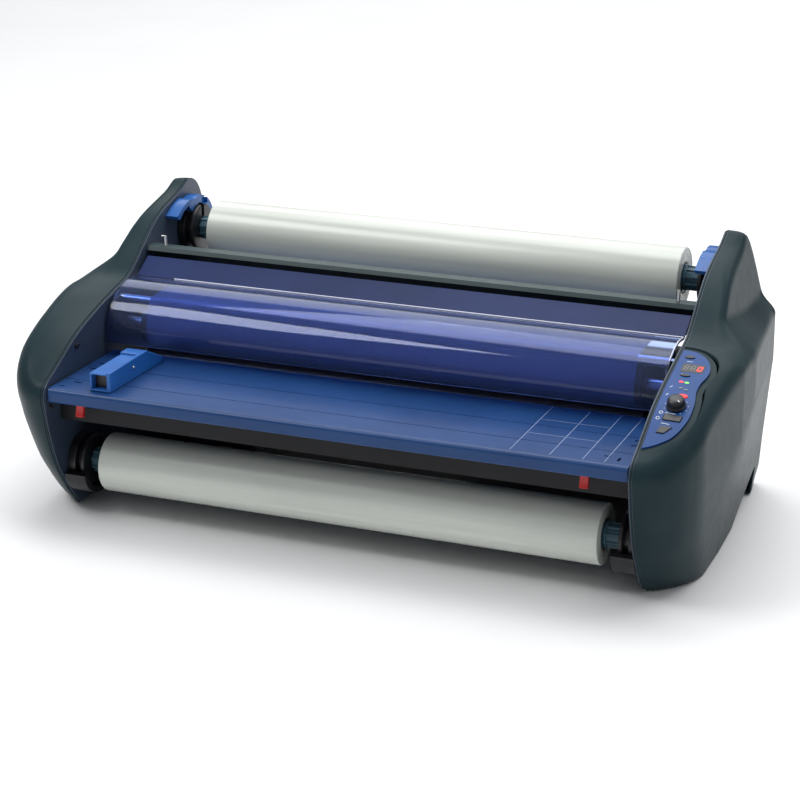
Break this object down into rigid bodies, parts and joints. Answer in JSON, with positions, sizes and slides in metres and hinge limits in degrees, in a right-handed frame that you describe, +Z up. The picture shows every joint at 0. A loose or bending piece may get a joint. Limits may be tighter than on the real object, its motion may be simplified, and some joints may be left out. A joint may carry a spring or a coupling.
{
  "type": "roll laminator",
  "caption": "Wide desktop roll laminator with moulded side covers, clear nip shield, feed table, film supply rolls and a control panel.",
  "frame": {"origin": "on the surface that the machine stands on, under the middle of its outer box", "axes": "+X to the operator's right, +Y to the back, +Z up"},
  "size_m": [0.955, 0.508, 0.375],
  "materials": {
    "cover": "satin moulded plastic with fine texture",
    "frame_steel": "black powder coat",
    "bright_steel": "ground steel",
    "deck": "grey-green satin paint",
    "table_blue": "satin moulded blue plastic",
    "panel_blue": "printed overlay film",
    "cap_blue": "semi-gloss moulded blue plastic",
    "black_plastic": "satin black plastic",
    "film": "wound clear film over a paper core",
    "chuck_teal": "teal-grey moulded plastic",
    "silicone": "silicone rubber sleeve",
    "rubber": "black rubber",
    "lever_red": "glossy red plastic",
    "brass": "satin brass",
    "board": "printed circuit board",
    "display": "dark tinted window",
    "indicator": "lit red lens",
    "shield": "clear blue-tinted polycarbonate"
  },
  "bodies": {
    "root": {"left_side_cover": "cover", "right_side_cover": "cover", "left_side_frame": "frame_steel", "right_side_frame": "frame_steel", "base_pan": "frame_steel", "front_tie_bar": "frame_steel", "rear_panel": "frame_steel", "exit_tray": "frame_steel", "drive_motor": "frame_steel", "top_crossbar": "deck", "left_front_foot": "rubber", "left_rear_foot": "rubber", "right_front_foot": "rubber", "right_rear_foot": "rubber", "upper_heater_rod": "brass", "lower_heater_rod": "brass", "transfer_axle": "bright_steel", "power_supply": "bright_steel", "upper_left_bracket": "black_plastic", "upper_right_bracket": "black_plastic", "lower_left_bracket": "black_plastic", "lower_right_bracket": "black_plastic", "power_inlet": "black_plastic", "upper_left_cap": "cap_blue", "upper_right_cap": "cap_blue", "control_panel": "panel_blue", "display_window": "display", "control_board": "board"},
    "upper_supply": {"upper_film_roll": "film", "upper_left_chuck": "chuck_teal", "upper_right_chuck": "chuck_teal"},
    "lower_supply": {"lower_film_roll": "film", "lower_left_chuck": "chuck_teal", "lower_right_chuck": "chuck_teal"},
    "upper_heat": {"upper_heat_roller": "silicone", "upper_heat_gear": "bright_steel"},
    "lower_heat": {"lower_heat_roller": "silicone", "lower_heat_gear": "bright_steel"},
    "upper_pull": {"upper_pull_roller": "rubber", "upper_pull_gear": "bright_steel"},
    "lower_pull": {"lower_pull_roller": "rubber", "lower_pull_gear": "bright_steel"},
    "transfer": {"transfer_gear": "bright_steel"},
    "pinion": {"motor_pinion": "brass"},
    "upper_idler_bar": {"upper_idler": "bright_steel"},
    "lower_idler_bar": {"lower_idler": "bright_steel"},
    "shield": {"nip_shield": "shield"},
    "table": {"feed_table": "table_blue"},
    "guide": {"edge_guide": "table_blue"},
    "left_latch": {"left_latch_lever": "lever_red"},
    "right_latch": {"right_latch_lever": "lever_red"},
    "power_key": {"power_button": "black_plastic"},
    "mode_key": {"mode_button": "black_plastic"},
    "standby_key": {"standby_button": "indicator"},
    "run_key": {"run_button": "black_plastic"},
    "stop_key": {"stop_button": "black_plastic"},
    "knob": {"speed_knob": "black_plastic"},
    "rocker": {"power_switch": "black_plastic"}
  },
  "joints": [
    {"name": "upper_supply_spin", "type": "hinge", "parent": "root", "child": "upper_supply", "pos_m": [0, 0.1675, 0.3075], "axis": [1, 0, 0], "continuous": true},
    {"name": "lower_supply_spin", "type": "hinge", "parent": "root", "child": "lower_supply", "pos_m": [0, -0.1675, 0.0695], "axis": [1, 0, 0], "continuous": true},
    {"name": "lower_heat_spin", "type": "hinge", "parent": "root", "child": "lower_heat", "pos_m": [0, -0.031, 0.16325], "axis": [1, 0, 0], "continuous": true},
    {"name": "upper_heat_spin", "type": "hinge", "parent": "root", "child": "upper_heat", "pos_m": [0, -0.031, 0.22075], "axis": [1, 0, 0], "continuous": true},
    {"name": "lower_pull_spin", "type": "hinge", "parent": "root", "child": "lower_pull", "pos_m": [0, 0.084, 0.172], "axis": [1, 0, 0], "continuous": true},
    {"name": "upper_pull_spin", "type": "hinge", "parent": "root", "child": "upper_pull", "pos_m": [0, 0.084, 0.212], "axis": [1, 0, 0], "continuous": true},
    {"name": "transfer_spin", "type": "hinge", "parent": "root", "child": "transfer", "pos_m": [0, 0.03145, 0.16071], "axis": [1, 0, 0], "continuous": true},
    {"name": "pinion_spin", "type": "hinge", "parent": "root", "child": "pinion", "pos_m": [0, 0.04407, 0.11362], "axis": [1, 0, 0], "continuous": true},
    {"name": "upper_idler_spin", "type": "hinge", "parent": "root", "child": "upper_idler_bar", "pos_m": [0, -0.041, 0.2565], "axis": [1, 0, 0], "continuous": true},
    {"name": "lower_idler_spin", "type": "hinge", "parent": "root", "child": "lower_idler_bar", "pos_m": [0, -0.096, 0.145], "axis": [1, 0, 0], "continuous": true},
    {"name": "shield_hinge", "type": "hinge", "parent": "root", "child": "shield", "pos_m": [0, 0.039, 0.3005], "axis": [-1, 0, 0], "range_deg": [0, 85]},
    {"name": "table_draw", "type": "slide", "parent": "root", "child": "table", "axis": [0, -1, 0], "range_m": [0, 0.12]},
    {"name": "guide_slide", "type": "slide", "parent": "table", "child": "guide", "axis": [1, 0, 0], "range_m": [-0.045, 0.6]},
    {"name": "left_latch_pull", "type": "hinge", "parent": "table", "child": "left_latch", "pos_m": [-0.352, -0.228, 0.177], "axis": [-1, 0, 0], "range_deg": [0, 30], "stiffness_Nm_per_rad": 0.1},
    {"name": "right_latch_pull", "type": "hinge", "parent": "table", "child": "right_latch", "pos_m": [0.332, -0.228, 0.177], "axis": [-1, 0, 0], "range_deg": [0, 30], "stiffness_Nm_per_rad": 0.1},
    {"name": "power_press", "type": "slide", "parent": "root", "child": "power_key", "axis": [0, 0.2447, -0.9696], "range_m": [0, 0.0015], "stiffness_N_per_m": 400},
    {"name": "mode_press", "type": "slide", "parent": "root", "child": "mode_key", "axis": [0, 0.2666, -0.9638], "range_m": [0, 0.0015], "stiffness_N_per_m": 400},
    {"name": "standby_press", "type": "slide", "parent": "root", "child": "standby_key", "axis": [0, 0.3202, -0.9474], "range_m": [0, 0.0015], "stiffness_N_per_m": 400},
    {"name": "run_press", "type": "slide", "parent": "root", "child": "run_key", "axis": [0, 0.4348, -0.9005], "range_m": [0, 0.0015], "stiffness_N_per_m": 400},
    {"name": "stop_press", "type": "slide", "parent": "root", "child": "stop_key", "axis": [0, 0.4776, -0.8786], "range_m": [0, 0.0015], "stiffness_N_per_m": 400},
    {"name": "speed_turn", "type": "hinge", "parent": "root", "child": "knob", "pos_m": [0.4215, -0.155, 0.24124], "axis": [0, -0.3752, 0.9269], "range_deg": [-135, 135]},
    {"name": "switch_rock", "type": "hinge", "parent": "root", "child": "rocker", "pos_m": [-0.343, 0.234, 0.085], "axis": [1, 0, 0], "range_deg": [0, 12]}
  ],
  "couplings": [
    {"joint": "upper_heat_spin", "follows": "lower_heat_spin", "ratio": -1},
    {"joint": "transfer_spin", "follows": "lower_heat_spin", "ratio": -0.85185},
    {"joint": "lower_pull_spin", "follows": "lower_heat_spin", "ratio": 1.4375},
    {"joint": "upper_pull_spin", "follows": "lower_heat_spin", "ratio": -1.4375},
    {"joint": "pinion_spin", "follows": "lower_heat_spin", "ratio": 1.9167}
  ]
}
